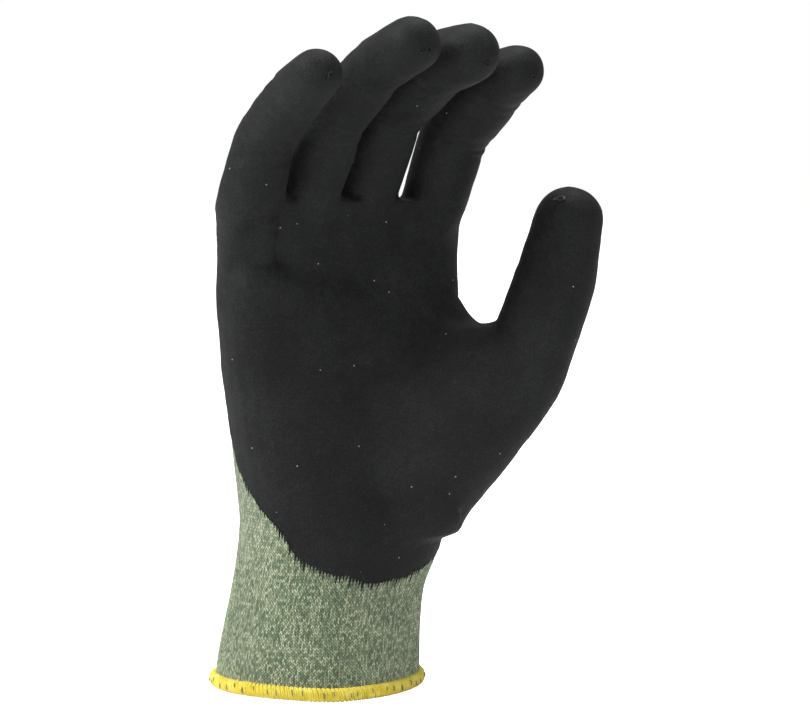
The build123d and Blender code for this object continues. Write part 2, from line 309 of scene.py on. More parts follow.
def sagging_tube(bm, palm, middle, thumb, palm_r, thumb_r):
    """A tube along a curve through three points, from one radius to another."""
    ends = [np.array(p) for p in (palm, middle, thumb)]
    bow = 2 * ends[1] - (ends[0] + ends[2]) / 2
    rings = []
    for t in np.linspace(0, 1, 15):
        at = ends[0] * (1 - t) ** 2 + bow * 2 * t * (1 - t) + ends[2] * t * t
        way = (bow - ends[0]) * (1 - t) + (ends[2] - bow) * t
        r = palm_r + (thumb_r - palm_r) * t
        rings.append(ring(bm, Vector(at), way, np.cross(way, (0.3, -0.2, 1)), r, r))
    return rings


for tube in BALL_TUBES:
    join_rings(body, sagging_tube(body, *tube))
bmesh.ops.recalc_face_normals(body, faces=body.faces)
print("with the ball and the web:", len(body.faces), "faces")

# %% One skin
VOXEL = 0.95
SMOOTHING = 10


def mesh_of(bm, name):
    """A mesh made from a bmesh, which is freed."""
    mesh = bpy.data.meshes.new(name)
    bm.to_mesh(mesh)
    bm.free()
    return mesh


def finished(mesh, name, modifiers):
    """A new mesh: this one with the modifiers applied."""
    holder = in_scene(bpy.data.objects.new(name, mesh))
    for kind, settings in modifiers:
        modifier = holder.modifiers.new(kind, kind)
        for key, value in settings.items():
            setattr(modifier, key, value)
    graph = bpy.context.evaluated_depsgraph_get()
    made = bpy.data.meshes.new_from_object(holder.evaluated_get(graph))
    bpy.data.objects.remove(holder)
    return made


skin = finished(mesh_of(body, "tubes"), "skin", [
    ("REMESH", dict(mode="VOXEL", voxel_size=VOXEL, adaptivity=0.0)),
    ("SMOOTH", dict(factor=0.5, iterations=SMOOTHING))])
print("skin:", len(skin.vertices), "points")

# %% [markdown]
# The tubes leave shallow valleys where they meet the palm. Smoothing again in a few
# patches, less and less towards the rim of each, leaves even swells. The rope of the
# web keeps its shape.

# %% Even swells
#                centre                radii of the patch
SWELLS = [((31.0, -24.0, 94.0), (36.0, 31.0, 27.0, 23.0, 19.0)),
          ((37.0, -14.0, 52.0), (15.0, 12.0)),
          ((-40.0, -7.0, 139.0), (17.0, 14.0, 11.0)),
          ((46.0, -6.0, 140.0), (14.0, 11.0))]
SWELL_ROUNDS = 26
ROPE_CLEAR = 8.0
ROPE = [Vector(p) for p in ((38.5, -5.0, 131.0), (44.0, -17.0, 117.0), (47.0, -24.0, 111.0),
                            (51.0, -31.0, 114.0), (57.6, -41.5, 131.0))]
swell = bmesh.new()
swell.from_mesh(skin)
for centre, reaches in SWELLS:
    for reach in reaches:
        patch = [v for v in swell.verts if (v.co - Vector(centre)).length < reach
                 and v.normal.y < 0.5 and min((v.co - p).length for p in ROPE) > ROPE_CLEAR]
        for _ in range(SWELL_ROUNDS):
            bmesh.ops.smooth_vert(swell, verts=patch, factor=0.6, use_axis_x=True,
                                  use_axis_y=True, use_axis_z=True)
swell.to_mesh(skin)
swell.free()
skin.update()
print(sum(len(reaches) for _, reaches in SWELLS), "rounds of patches smoothed")

# %% [markdown]
# ## Where each point lies
# Knit follows the hand: its columns of stitches, the wales, run up the sleeve and along
# each stall, and the film's edge is set by how far the hand went into the bath. So each
# point of the skin is told which digit it belongs to, how far along, and on which side.

# %% Nearest digit
SEARCH_ROOM = 28.0      # points further than this from a digit aren't its own
SKIN_ROOM = 5.0         # a digit's own skin lies this close to its radius
THUMB_FROM = 14.0       # the thumb's own skin starts this far along it


def along_digits(p):
    """For each point: its digit (or -1), distance along it, angle round it and how far
    it stands towards the back, as a share of the radius."""
    best = np.full(len(p), 1e9)
    digit = np.full(len(p), -1)
    s, turn, back = np.zeros(len(p)), np.zeros(len(p)), np.zeros(len(p))
    for k, d in enumerate(DIGITS):
        low, high = d["line"].min(0) - SEARCH_ROOM, d["line"].max(0) + SEARCH_ROOM
        near = np.nonzero(((p > low) & (p < high)).all(1))[0]
        if not len(near):
            continue
        q = p[near]
        gaps = ((q[:, None, :] - d["line"][None]) ** 2).sum(2)
        i = gaps.argmin(1)
        off = q - d["line"][i]
        forward = (off * d["way"][i]).sum(1)
        off_side = off - d["way"][i] * forward[:, None]
        reach = np.linalg.norm(off, axis=1) - d["radii"][i]
        side = np.cross(d["back"][i], d["way"][i])
        b, c = (off_side * d["back"][i]).sum(1), (off_side * side).sum(1)
        closer = reach < best[near]
        put = near[closer]
        best[put], digit[put] = reach[closer], k
        s[put] = (d["s"][i] + forward)[closer]
        turn[put] = np.arctan2(c, b)[closer]
        back[put] = (b / d["radii"][i])[closer]
    starts = np.array([d["root"] for d in DIGITS[:4]] + [THUMB_FROM])
    digit[(s < starts[digit]) | (best > SKIN_ROOM)] = -1
    return digit, s, turn, back


found, far, _, _ = along_digits(THUMB_PAD[None] * DIGITS[4]["radii"][-1]
                                + DIGITS[4]["line"][-1])
print("the thumb's tip is on digit", int(found[0]), "at", round(float(far[0])), "mm")


# %% [markdown]
# The film's edge runs level across the heel of the palm, climbs the little finger's side
# to the back of the knuckles and does the same beside the thumb. On a digit it leaves a
# bare strip along the back. A number says how far inside the film each point is.

# %% Reach of the dip
#         angle round the sleeve, height of the film's edge
DIP_EDGE = [(-180, 68.5), (-177, 66.6), (-168, 61), (-155, 56), (-146, 50.5), (-137, 45),
            (-128, 42.2), (-116, 40), (-98, 37.2), (-88.5, 36.4), (-72.5, 36.8), (-61, 38.2),
            (-49.5, 40.2), (-33.5, 43.4), (-25, 47.2), (-15, 53), (-4, 63), (4, 74), (10, 88),
            (16, 104), (22, 126), (34, 152), (60, 200), (120, 200), (146, 152), (156, 126),
            (163, 104), (168.7, 82.6), (175, 73), (180, 68.5)]
EDGE_SPAN = 0.62        # one degree round the sleeve, mm
BACK_STRIP = 0.55       # the bare strip starts at this share of a digit's radius
TIP_BARE = 5.0          # and ends this far past the last joint but one
STRIP_FADE = 8.0
CROTCH_Z = 150.0
DIP_TOP_Y = 1.2         # the edge on the back, at the finger roots
#                amount, size, seed of the edge's wandering
EDGE_WANDER = ((0.8, 7.0, 3.0), (0.35, 2.2, 9.0))


def wander(p, size, seed):
    """Smooth noise between -1 and 1 at a size in mm."""
    return np.array([noise.noise(Vector(q) / size + Vector((seed, 0, 0))) for q in p])


def wandering(p, waves):
    """Noise of several amounts and sizes added up."""
    return sum(amount * wander(p, size, seed) for amount, size, seed in waves)


def film_depth(p):
    """How far each point is inside the film's edge, mm."""
    digit, s, turn, back = along_digits(p)
    angles, heights = np.array(DIP_EDGE, float).T
    angle = np.degrees(sleeve_angle(p))
    edge = np.interp(angle, angles, heights)
    slope = np.interp(angle + 1, angles, heights) - np.interp(angle - 1, angles, heights)
    depth = (p[:, 2] - edge) / np.sqrt(1 + (slope / (2 * EDGE_SPAN)) ** 2)
    crotch = p[:, 2] > CROTCH_Z
    depth[crotch] = np.maximum(depth, DIP_TOP_Y - p[:, 1])[crotch]
    for k, d in enumerate(DIGITS):
        mine = np.nonzero(digit == k)[0]
        r = np.interp(s[mine], d["s"], d["radii"])
        strip = np.maximum((BACK_STRIP - back[mine]) * r, s[mine] - d["at"][1] - TIP_BARE)
        fade = smooth((s[mine] - d["root"]) / STRIP_FADE)
        if d["name"] == "thumb":
            depth[mine] = np.maximum(depth[mine], strip)
        else:
            depth[mine] = depth[mine] * (1 - fade) + strip * fade
    return depth + wandering(p, EDGE_WANDER)


print("the film starts", min(height for _, height in DIP_EDGE), "mm above the hem")


# %% [markdown]
# ## Creases
# A dipped glove keeps the folds of its fingers: short grooves across the front of each
# joint, and soft unevenness all over, because the film dried on yarn. They are real
# hollows, made by moving the points of the skin.

# %% Points of a mesh
def read_points(mesh):
    flat = np.empty(len(mesh.vertices) * 3)
    mesh.vertices.foreach_get("co", flat)
    return flat.reshape(-1, 3)


def read_normals(mesh):
    flat = np.empty(len(mesh.vertices) * 3, np.float32)
    mesh.vertex_normals.foreach_get("vector", flat)
    return flat.reshape(-1, 3).astype(float)


def write_points(mesh, points):
    mesh.vertices.foreach_set("co", points.reshape(-1))
    mesh.update()


print("skin from", read_points(skin).min(0).round(1), "to",
      read_points(skin).max(0).round(1), "mm")

# %% Folds and unevenness
#         joint, offset along, depth, half width
FOLDS = [(0, -4.0, 0.45, 2.0), (0, 1.4, 0.60, 2.1), (0, 6.2, 0.30, 1.8),
         (1, -2.4, 0.30, 1.8), (1, 2.6, 0.35, 1.9)]
THUMB_SHARE = 0.3       # the thumb is held straight and its folds are shallower
FRONT_TO, FRONT_FADE = 0.35, 0.8            # folds fade out towards the back
BOW, BOW_WANDER, BOW_SIZE = 1.6, 0.8, 9.0   # they are bowed and a little crooked
#              across x and height z of its ends,        depth, half width
PALM_FOLDS = [((-36.0, 147.5), (-26.0, 153.0), 1.7, 2.2),
              ((-24.5, 154.0), (-24.0, 138.0), 1.3, 1.9),
              ((-36.0, 136.0), (-22.0, 137.5), 1.5, 3.2),
              ((-34.0, 128.5), (-20.0, 130.5), -0.8, 3.6),
              ((-20.0, 134.0), (14.0, 131.0), 0.9, 5.0),
              ((-2.0, 153.0), (-2.5, 147.0), 0.6, 2.8),
              ((22.0, 153.0), (21.0, 143.0), 0.8, 3.2),
              ((21.0, 149.0), (34.0, 140.0), 0.5, 3.0)]
FOLDS_TO, FOLDS_FADE = 156.0, 7.0             # the folds of the palm end below the crotches
HOLLOW = ((8.0, 138.0), (26.0, 15.0), 2.2)    # the palm's cup: centre, half sizes, depth
UNEVEN = ((0.38, 16.0, 1.0), (0.16, 5.5, 5.0))
CALM_TO, CALM_FADE = 46.0, 8.0                # below here the skin is even
LIE_TO, LIE_FADE = 50.0, 4.5                  # and here it nears the cuff's own form


def beside_line(p, one, other):
    """Distance of each point from a line drawn on the palm, seen from the front."""
    one, way = np.array(one), np.array(other) - np.array(one)
    off = p[:, [0, 2]] - one
    along = np.clip(off @ way / (way @ way), 0, 1)
    return np.linalg.norm(off - along[:, None] * way, axis=1)


print(len(FOLDS), "folds on each digit and", len(PALM_FOLDS), "on the palm")

# %% Pressed into the skin
points, normals = read_points(skin), read_normals(skin)
digit, s, turn, back = along_digits(points)
sink = wandering(points, UNEVEN)
for k, d in enumerate(DIGITS):
    front = smooth((FRONT_TO - back) / FRONT_FADE) * (digit == k)
    bow = BOW * np.cos(turn) ** 2 + BOW_WANDER * wander(points, BOW_SIZE, 20.0 + k)
    share = THUMB_SHARE if d["name"] == "thumb" else 1.0
    for joint, offset, depth, width in FOLDS:
        away = (s - d["at"][joint] - offset - bow) / width
        sink += share * depth * front * np.exp(-away ** 2)
palm = smooth(-normals[:, 1] * 2) * smooth((FOLDS_TO - points[:, 2]) / FOLDS_FADE)
for one, other, depth, width in PALM_FOLDS:
    away = beside_line(points, one, other) / width
    sink += depth * palm * np.exp(-away ** 2)
(x, z), (wide, high), depth = HOLLOW
away = ((points[:, 0] - x) / wide) ** 2 + ((points[:, 2] - z) / high) ** 2
sink += depth * palm * np.exp(-away)
calm = smooth((points[:, 2] - CALM_TO) / CALM_FADE)
points = points - normals * (sink * calm)[:, None]
# the skin meets the cuff exactly where the two are cut
lie = smooth((LIE_TO - points[:, 2]) / LIE_FADE)[:, None]
exact = sleeve_points(points[:, 2], sleeve_angle(points), FILM)
edge_zone = points[:, 2] < LIE_TO
points[edge_zone] = (points * (1 - lie) + exact * lie)[edge_zone]
write_points(skin, points)
print("deepest fold", round(float(sink.max()), 2), "mm")

# %% [markdown]
# ## Cuts at the joints
# The glove bends where a hand does. Each piece of skin spans one joint, so the
# skin is cut square to each bone halfway between its joints, and the cut ends meet
# edge to edge. The thumb's web is a piece of its own, between the palm
# and the thumb.

# %% Planes
SEAM_Z = 45.0
HAND_BEND_TO = 70.0     # the wrist's bend ends below the lowest cut of the thumb
ROOT_START = 2.0        # past the root's hinge, where a finger's first cut lies
ROOT_BEND = 12.0        # the longest bend at a finger's root
KNUCKLE_REACH, KNUCKLE_CLEAR = 8.0, 0.2     # a knuckle bends this far to each side
SHORT_BONE, SHORT_CUT = 20.0, 10.0          # a bone this short is cut at its middle
FINGERS_Z = 140.0       # fingers are cut above here
THUMB_CUT, THUMB_BEND, TIP_CUT = 24.0, 14.0, 24.0
WEB_WAY = unit(np.array((0.3, -0.95, 0.0)))
WEB_FROM, WEB_TO, WEB_TOP = 27.9, 35.0, 130.0
WEB, ROOT, KNUCKLE, TIP = 14, 15, 16, 17    # the thumb's regions

thumb = DIGITS[4]
THUMB_AT, THUMB_WAY = thumb["joints"][0], thumb["bones"][0]
KNUCKLE_WAY = unit(thumb["bones"][1] + 0.6 * WEB_WAY)
KNUCKLE_AT = thumb["joints"][1] + thumb["bones"][1] * 4
KNUCKLE_BEND = 11.5
TIP_AT, TIP_WAY = thumb["joints"][1] + thumb["bones"][1] * TIP_CUT, thumb["bones"][1]


def finger_cuts(d):
    """The three cuts of a finger: places and directions."""
    first, clear = d["root"] + ROOT_START, KNUCKLE_REACH + KNUCKLE_CLEAR
    second = min(first + ROOT_BEND, d["lengths"][0] - clear) + 0.1
    third = max(clear, d["lengths"][1] / 2 - 1) if d["lengths"][1] > SHORT_BONE else SHORT_CUT
    return [(d["joints"][0] + d["bones"][0] * first, d["bones"][0]),
            (d["joints"][0] + d["bones"][0] * second, d["bones"][0]),
            (d["joints"][1] + d["bones"][1] * third, d["bones"][1])]


def gap(k, p):
    """Distance of each point from a digit's middle line."""
    return np.linalg.norm(p[:, None] - DIGITS[k]["line"][None, ::4], axis=2).min(1)


for d in DIGITS[:4]:
    print(d["name"], "is cut at heights", [round(float(at[2])) for at, _ in finger_cuts(d)])


# %% [markdown]
# Two pieces would meet without a crack where both followed the same bodies by the same share.
# The web's share runs across it, from the palm to the thumb, and the root's along the thumb,
# so they are parted by the plane where the two shares are equal. The knuckle starts where
# both are already whole.

# %% The thumb's own skin
AHEAD, AHEAD_SIDE, SIDE = 12.0, 34.0, 22.0      # from here, and from here only far aside
INNER, INNER_HIGH, INNER_Z = 5.0, 22.0, 120.0   # its least x, below and above a height
INDEX_GAP, INDEX_Z, SIDE_TOP = 15.0, 136.0, 170.0
SHARED = WEB_WAY / (WEB_TO - WEB_FROM) - THUMB_WAY / THUMB_BEND
SHARED_AT = SHARED / (SHARED @ SHARED) * (
    WEB_FROM / (WEB_TO - WEB_FROM) - (THUMB_AT @ THUMB_WAY + THUMB_CUT) / THUMB_BEND)


def thumb_side(p):
    """Points that may belong to the thumb: beside its bones and below the fingers."""
    ahead = (p - THUMB_AT) @ THUMB_WAY
    finger = (gap(0, p) < INDEX_GAP) & (p[:, 2] > INDEX_Z)
    inner = np.where(p[:, 2] < INNER_Z, INNER, INNER_HIGH)
    return (ahead > AHEAD) & (p[:, 0] > inner) & (p[:, 2] < SIDE_TOP) & ~finger & (
        (p @ WEB_WAY > SIDE) | (ahead < AHEAD_SIDE))


def thumb_shares(p):
    """How far each point is into the bend of the web and into that of the thumb's root."""
    return ((p @ WEB_WAY - WEB_FROM) / (WEB_TO - WEB_FROM),
            ((p - THUMB_AT) @ THUMB_WAY - THUMB_CUT) / THUMB_BEND)


print("web and root at their shared plane:", [round(float(share), 3)
                                              for share in thumb_shares(SHARED_AT)])

# %% Regions
FINGER_ROOM = 16.0      # a finger's skin is nearer to its line than this


def regions(p):
    """A number for the piece that each point belongs to."""
    region = np.where(p[:, 2] < SEAM_Z, 0, 1)
    gaps = np.array([gap(k, p) for k in range(4)])
    for k, d in enumerate(DIGITS[:4]):
        mine = (gaps[k] < FINGER_ROOM) & (gaps[k] <= gaps.min(0)) & (p[:, 2] > FINGERS_Z)
        for i, (at, way) in enumerate(finger_cuts(d)):
            region[mine & ((p - at) @ way > 0)] = 2 + 3 * k + i
    web, root = thumb_shares(p)
    moving = thumb_side(p) & (web > 0) & (root > 0)
    region[moving] = np.where(web < root, WEB, ROOT)[moving]
    beyond = moving & (web > 1) & ((p - KNUCKLE_AT) @ KNUCKLE_WAY > 0)
    region[beyond] = KNUCKLE
    region[beyond & ((p - thumb["joints"][1]) @ TIP_WAY > TIP_CUT)] = TIP
    return region


print("the thumb's tip is in region", int(regions(thumb["line"][-1:])[0]))

# %% Cuts
CUT_ROOM = 4.0          # only faces this near a plane are cut
CUT_GAP, CUT_REACH = 14.5, 15.0         # and near the finger's line and the cut's middle
KNUCKLE_GAP, TIP_GAP = 24.0, 18.0


def cut(bm, at, way, chosen):
    """Cut the chosen faces along a plane."""
    centres = np.array([f.calc_center_median() for f in bm.faces])
    bm.faces.ensure_lookup_table()
    faces = [bm.faces[i] for i in np.nonzero(chosen(centres))[0]]
    edges, verts = {e for f in faces for e in f.edges}, {v for f in faces for v in f.verts}
    bmesh.ops.bisect_plane(bm, geom=faces + list(edges) + list(verts), dist=1e-4,
                           plane_co=Vector(at), plane_no=Vector(way))


hand = bmesh.new()
hand.from_mesh(skin)
cut(hand, (0, 0, SEAM_Z), (0, 0, 1), lambda p: np.abs(p[:, 2] - SEAM_Z) < CUT_ROOM)
for k, d in enumerate(DIGITS[:4]):
    for at, way in finger_cuts(d):
        cut(hand, at, way, lambda p: (gap(k, p) < CUT_GAP) & (
            np.abs((p - at) @ way) < CUT_ROOM) & (
            np.linalg.norm(p - at, axis=1) < CUT_REACH))
cut(hand, THUMB_AT + THUMB_WAY * THUMB_CUT, THUMB_WAY, thumb_side)
for at, way in ((WEB_WAY * WEB_FROM, WEB_WAY), (SHARED_AT, unit(SHARED))):
    cut(hand, at, way, lambda p: thumb_side(p) & (p[:, 2] < WEB_TOP))
cut(hand, KNUCKLE_AT, KNUCKLE_WAY, lambda p: thumb_side(p) & (gap(4, p) < KNUCKLE_GAP))
cut(hand, TIP_AT, TIP_WAY, lambda p: thumb_side(p) & (gap(4, p) < TIP_GAP))
print("cut skin:", len(hand.faces), "faces")

# %% [markdown]
# ## Knit coordinates
# The UV map counts stitches: one unit across is one wale and one unit up is one course.
# A corner on the seam where the count starts again takes the count of its own face.

# %% Stitch counts
WALES, COURSE = 180, 1.0
FINGER_WALES, THUMB_WALES = 56, 72


def stitch_counts(p):
    """Wale and course number of each point."""
    digit, s, turn, _ = along_digits(p)
    across = sleeve_angle(p, even=True) / (2 * math.pi) * WALES
    upward = p[:, 2] / COURSE
    full = np.full(len(p), float(WALES))
    for k in range(5):
        wales = THUMB_WALES if k == 4 else FINGER_WALES
        mine = digit == k
        across[mine] = turn[mine] / (2 * math.pi) * wales
        upward[mine] = s[mine] / COURSE
        full[mine] = wales
    return across, upward, full


def number_stitches(mesh):
    """Write the stitch counts as a UV map."""
    across, upward, full = stitch_counts(read_points(mesh))
    corners = np.empty(len(mesh.loops), int)
    mesh.loops.foreach_get("vertex_index", corners)
    starts, sizes = (np.empty(len(mesh.polygons), int) for _ in range(2))
    mesh.polygons.foreach_get("loop_start", starts)
    mesh.polygons.foreach_get("loop_total", sizes)
    lead = np.repeat(corners[starts], sizes)
    order = np.repeat(starts, sizes) + (np.arange(len(corners)) - np.repeat(
        np.cumsum(sizes) - sizes, sizes))
    here = corners[order]
    jump = across[here] - across[lead]
    count = full[lead]
    uv = np.empty((len(corners), 2))
    uv[order, 0] = across[here] - np.round(jump / count) * count
    uv[order, 1] = upward[here]
    layer = mesh.uv_layers.get("stitches") or mesh.uv_layers.new(name="stitches")
    layer.data.foreach_set("uv", uv.reshape(-1).astype(np.float32))


print(WALES, "wales round the sleeve,", FINGER_WALES, "round a finger")


# %% [markdown]
# ## The two layers
# The film is the part of the skin inside the dip's edge, with its real thickness. The
# knit is the whole skin, moved in to lie under the film. Each layer is given its wall
# before it is cut up, and each piece keeps the uncut layer's normals, so no line shows
# where two pieces meet.

# %% A layer with its wall
def polygon_centres(mesh):
    flat = np.empty(len(mesh.polygons) * 3)
    mesh.polygons.foreach_get("center", flat)
    return flat.reshape(-1, 3)


def layer_mesh(bm, name, move, wall):
    """The skin moved by a distance along its normals, given a wall, as a mesh in metres."""
    mesh = bpy.data.meshes.new(name)
    bm.to_mesh(mesh)
    write_points(mesh, read_points(mesh) + read_normals(mesh) * move)
    mesh.polygons.foreach_set("material_index", regions(polygon_centres(mesh)))
    number_stitches(mesh)
    walled = finished(mesh, name, [("SOLIDIFY", dict(thickness=wall, offset=-1.0))])
    write_points(walled, read_points(walled) * MM)
    normals = read_normals(walled)
    kept = walled.attributes.new("whole_normal", "FLOAT_VECTOR", "POINT")
    kept.data.foreach_set("vector", normals.reshape(-1).astype(np.float32))
    return walled


# %% The film's share of the skin
RIM_STEP, RIM_SLOPE = 0.4, 0.3      # the depth's slope is taken over this, and not less
RIM_MOVE = 0.7                      # a point of the open edge moves at most this far


def film_skin(bm):
    """The skin's faces inside the dip's edge, with the open edge drawn onto its line."""
    film = bm.copy()
    film.verts.ensure_lookup_table()
    depth = film_depth(np.array([v.co for v in film.verts]))
    bare = [f for f in film.faces if sum(depth[v.index] for v in f.verts) < 0]
    bmesh.ops.delete(film, geom=bare, context="FACES")
    rim = [v for v in film.verts if v.is_boundary]
    at = np.array([v.co for v in rim])
    here = film_depth(at)
    slope = np.stack([(film_depth(at + step) - here) / RIM_STEP
                      for step in np.eye(3) * RIM_STEP], axis=1)
    normal = np.array([v.normal for v in rim])
    slope -= normal * (slope * normal).sum(1)[:, None]
    size = np.maximum((slope ** 2).sum(1), RIM_SLOPE)
    shift = -(here / size)[:, None] * slope
    reach = np.linalg.norm(shift, axis=1)[:, None]
    shift *= np.minimum(1, RIM_MOVE / np.maximum(reach, 1e-6))
    for v, move in zip(rim, shift):
        v.co = v.co + Vector(move)
    return film


film = film_skin(hand)
print("film:", len(film.faces), "of", len(hand.faces), "faces")

# %% Both layers
KNIT_WALL, FILM_WALL = 1.1, 0.5
knit_layer = layer_mesh(hand, "knit_layer", -FILM, KNIT_WALL)
film_layer = layer_mesh(film, "film_layer", 0, FILM_WALL)
print("knit layer", len(knit_layer.polygons), "film layer", len(film_layer.polygons))

# %% [markdown]
# ## Materials
# One function adds a node with its settings and links, another turns a colour from its
# sRGB hex to the linear numbers that shaders work in.

# %% Node and colour helpers
def linear(hex_colour):
    """An sRGB hex colour as linear RGBA."""
    channels = [int(hex_colour[i:i + 2], 16) / 255 for i in (1, 3, 5)]
    return (*(c / 12.92 if c <= 0.04045 else ((c + 0.055) / 1.055) ** 2.4
              for c in channels), 1)


def add(tree, kind, *inputs, named=(), stops=(), **settings):
    """Add a node. Its inputs are numbers, sockets or nodes, in order or by name. A
    colour ramp has stops of place and hex colour."""
    made = tree.nodes.new("ShaderNode" + kind)
    for key, value in settings.items():
        setattr(made, key, value)
    for key, value in [*enumerate(inputs), *dict(named).items()]:
        if isinstance(value, bpy.types.Node):
            value = value.outputs[0]
        if isinstance(value, bpy.types.NodeSocket):
            tree.links.new(value, made.inputs[key])
        else:
            made.inputs[key].default_value = value
    for i, (at, colour) in enumerate(stops):
        elements = made.color_ramp.elements
        element = elements[i] if i < 2 else elements.new(at)
        element.position, element.color = at, linear(colour)
    return made


def new_material(name):
    material = bpy.data.materials.new(name)
    material.use_nodes = True
    material.node_tree.nodes.clear()
    return material, material.node_tree


# %% [markdown]
# ### Knit
# Plain jersey: each stitch shows as a V of two slanting legs of yarn, 1.2 mm across and
# 1 mm high. The yarn is spun from grey-green and pale fibres, so each leg has its own
# tone, and the gaps between the legs are painted a dark green as painted shade.

# %% Jersey pattern
def jersey(tree):
    """Height of the stitches, 0 to 1, a number for each leg of yarn, and the counts."""
    uv = add(tree, "UVMap", uv_map="stitches")
    parts = add(tree, "SeparateXYZ", uv)
    u, v = parts.outputs[0], parts.outputs[1]
    cell = add(tree, "Math", u, operation="FRACT")
    centred = add(tree, "Math", cell, 0.5, operation="SUBTRACT")
    out = add(tree, "Math", centred, operation="ABSOLUTE")
    course = add(tree, "Math", out, -1.5, v, operation="MULTIPLY_ADD")
    wave = add(tree, "Math", course, 2 * math.pi, operation="MULTIPLY")
    beat = add(tree, "Math", wave, operation="SINE")
    beat = add(tree, "Math", beat, 0.36, 0.62, operation="MULTIPLY_ADD")
    leg = add(tree, "Math", out, 0.25, operation="SUBTRACT")
    leg = add(tree, "Math", leg, 4.0, operation="MULTIPLY")
    leg = add(tree, "Math", leg, 2.0, operation="POWER")
    leg = add(tree, "Math", 1.0, leg, operation="SUBTRACT")
    leg = add(tree, "Math", leg, 0.0, operation="MAXIMUM")
    leg = add(tree, "Math", leg, 0.6, operation="POWER")
    height = add(tree, "Math", leg, beat, operation="MULTIPLY")
    column = add(tree, "Math", u, 2.0, operation="MULTIPLY")
    column = add(tree, "Math", column, operation="FLOOR")
    row = add(tree, "Math", course, 0.25, operation="ADD")
    row = add(tree, "Math", row, operation="FLOOR")
    which = add(tree, "CombineXYZ", column, row)
    return height, which, uv


# %% Knit material
def knit_material():
    """Cut resistant jersey of mixed yarn: matt, hairy, speckled grey-green."""
    material, tree = new_material("cut_resistant_jersey")
    height, which, uv = jersey(tree)
    shade = add(tree, "TexWhiteNoise", which, noise_dimensions="2D")
    spot = add(tree, "TexCoord").outputs["Object"]
    fibre = add(tree, "TexNoise", uv, named={"Scale": 2.9, "Detail": 3.0})
    cloud = add(tree, "TexNoise", spot, named={"Scale": 70.0, "Detail": 2.0})
    mix = add(tree, "Math", shade, 0.5, operation="MULTIPLY")
    mix = add(tree, "Math", fibre, 0.6, mix, operation="MULTIPLY_ADD")
    mix = add(tree, "Math", cloud, 0.25, mix, operation="MULTIPLY_ADD")
    yarn = add(tree, "ValToRGB", mix, stops=(
        (0.42, "#61755a"), (0.60, "#8a9c7a"), (0.76, "#abb893"), (0.92, "#e0e5c2")))
    # the low parts of each stitch, between its legs, take a dark green: painted shade in the
    # gaps
    painted_gap_shade = add(tree, "MapRange", height, 0.05, 0.58, 0.0, 1.0)
    colour = add(tree, "Mix", data_type="RGBA", named={
        0: painted_gap_shade, 6: linear("#303f2b"), 7: yarn}).outputs[2]
    relief = add(tree, "Math", fibre, 0.25, height, operation="MULTIPLY_ADD")
    bump = add(tree, "Bump", named={"Strength": 0.8, "Distance": 0.4 * MM, "Height": relief})
    shader = add(tree, "BsdfPrincipled", named={
        "Base Color": colour, "Normal": bump, "Roughness": 0.92, "Sheen Weight": 0.25,
        "Sheen Roughness": 0.6, "Specular IOR Level": 0.2})
    add(tree, "OutputMaterial", shader)
    return material


KNIT = knit_material()
print(KNIT.name, len(KNIT.node_tree.nodes), "nodes")

# %% [markdown]
# ### Film
# Foamed nitrile, dipped and cured: almost black, matt, with a fine grain of burst
# bubbles. A real bubble is some 0.1 mm wide, too fine to show, so the grain is drawn at
# about 0.5 mm. Near its lower edge the film is thin and the wales show through as faint
# ridges. Here and there a pale fleck of fibre is caught in it.

# %% Film material
def film_material():
    """Foamed nitrile film: dull black with a fine grain and few pale flecks."""
    material, tree = new_material("dipped_nitrile_foam")
    height, _, _ = jersey(tree)
    spot = add(tree, "TexCoord").outputs["Object"]
    z = add(tree, "SeparateXYZ", spot).outputs[2]
    thin = add(tree, "MapRange", z, 0.036, 0.075, 0.34, 0.07)
    grain = add(tree, "TexNoise", spot, named={"Scale": 2200.0, "Detail": 2.0})
    mottle = add(tree, "TexNoise", spot, named={"Scale": 420.0, "Detail": 3.0})
    cloud = add(tree, "TexNoise", spot, named={"Scale": 45.0, "Detail": 3.0})
    knit = add(tree, "Math", height, thin, operation="MULTIPLY")
    relief = add(tree, "Math", grain, 0.22, knit, operation="MULTIPLY_ADD")
    relief = add(tree, "Math", mottle, 0.5, relief, operation="MULTIPLY_ADD")
    bump = add(tree, "Bump", named={"Strength": 0.55, "Distance": 0.35 * MM,
                                    "Height": relief})
    tone = add(tree, "Math", mottle, 0.5, grain, operation="MULTIPLY_ADD")
    tone = add(tree, "Math", cloud, 0.6, tone, operation="MULTIPLY_ADD")
    tone = add(tree, "Math", tone, 0.5, operation="MULTIPLY")
    black = add(tree, "ValToRGB", tone, stops=(
        (0.38, "#0b0c0c"), (0.52, "#161717"), (0.66, "#252626")))
    fleck = add(tree, "TexVoronoi", spot, named={"Scale": 150.0, "Randomness": 1.0})
    dot = add(tree, "Math", fleck.outputs["Distance"], 0.035, operation="LESS_THAN")
    pick = add(tree, "SeparateColor", fleck.outputs["Color"])
    pick = add(tree, "Math", pick, 0.8, operation="LESS_THAN")
    dot = add(tree, "Math", dot, pick, operation="MULTIPLY")
    colour = add(tree, "Mix", data_type="RGBA", named={
        0: dot, 6: black, 7: linear("#9a9a94")}).outputs[2]
    rough = add(tree, "MapRange", mottle, 0.3, 0.7, 0.58, 0.72)
    shader = add(tree, "BsdfPrincipled", named={
        "Base Color": colour, "Normal": bump, "Roughness": rough, "IOR": 1.5,
        "Specular IOR Level": 0.2, "Sheen Weight": 0.02, "Sheen Roughness": 0.6})
    add(tree, "OutputMaterial", shader)
    return material


NITRILE = film_material()
print(NITRILE.name, len(NITRILE.node_tree.nodes), "nodes")

# %% [markdown]
# ### Hem, rubber and knot yarns
# The hem's yarn is textured polyester, bright yellow, soft and slightly shiny. The cuff
# is held by covered rubber yarns inside it. Each stall's yarn ends in a small knot,
# stiff with nitrile.

